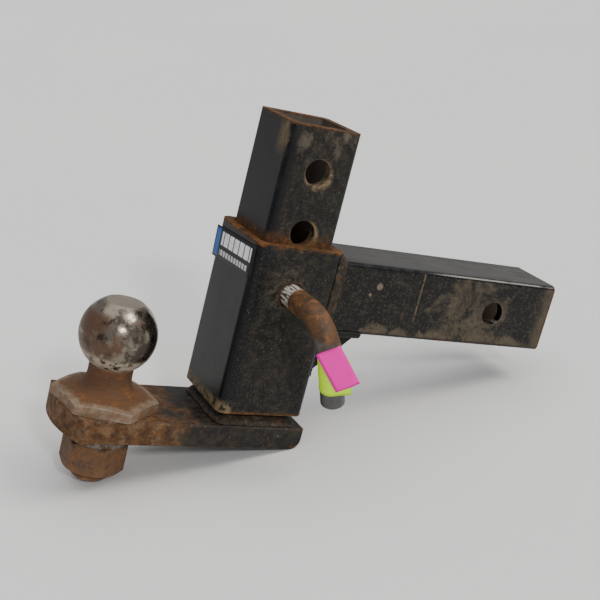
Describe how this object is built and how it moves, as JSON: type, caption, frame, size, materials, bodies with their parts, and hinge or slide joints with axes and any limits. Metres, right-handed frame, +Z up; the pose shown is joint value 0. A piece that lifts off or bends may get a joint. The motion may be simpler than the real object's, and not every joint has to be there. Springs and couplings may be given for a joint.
{
  "type": "adjustable trailer hitch with ball",
  "caption": "Height-adjustable tow hitch: square shank welded to a sleeve, a drilled square post pinned in it, and a ball platform with a nutted hitch ball.",
  "frame": {"origin": "centre of the receiver pin hole in the shank, on the shank's axis", "axes": "+X along the shank towards its free end, which goes into the vehicle's receiver; +Y along the receiver pin hole, with the pull pin's grip on the -Y side; +Z up along the post"},
  "size_m": [0.3536, 0.131, 0.257],
  "materials": {
    "black_paint": "worn satin black paint with rust at the edges",
    "post_paint": "worn black paint under brown dirt, rusted at the rim and the holes",
    "platform_steel": "black paint rusted through towards the ball",
    "weld_bead": "rusty tan weld metal",
    "worn_ball": "chromed ball worn to brown rust, with a rusted neck and foot",
    "rusty_fastener": "dark brown rust",
    "rusty_pin": "bare steel bar with orange-brown rust",
    "label_plate": "black printed plate with a blue end",
    "yellow_tag": "fluorescent yellow paper",
    "pink_tag": "fluorescent pink paper"
  },
  "bodies": {
    "shank_and_sleeve": {"shank_tube": "black_paint", "sleeve_tube": "black_paint", "gusset_near": "black_paint", "gusset_far": "black_paint", "shank_weld": "weld_bead", "gusset_welds": "weld_bead", "name_label": "label_plate"},
    "ball_mount": {"post_tube": "post_paint", "ball_platform": "platform_steel", "platform_weld": "weld_bead", "hitch_ball": "worn_ball", "lock_washer": "rusty_fastener", "ball_nut": "rusty_fastener"},
    "pull_pin": {"pull_pin": "rusty_pin", "tag_wrap": "yellow_tag", "tag_face": "pink_tag"}
  },
  "joints": [
    {"name": "height_play", "type": "slide", "parent": "shank_and_sleeve", "child": "ball_mount", "axis": [0, 0, 1], "range_m": [-0.0007, 0.0007]},
    {"name": "pin_pull", "type": "slide", "parent": "shank_and_sleeve", "child": "pull_pin", "axis": [0, -1, 0], "range_m": [-0.025, 0.07]}
  ]
}
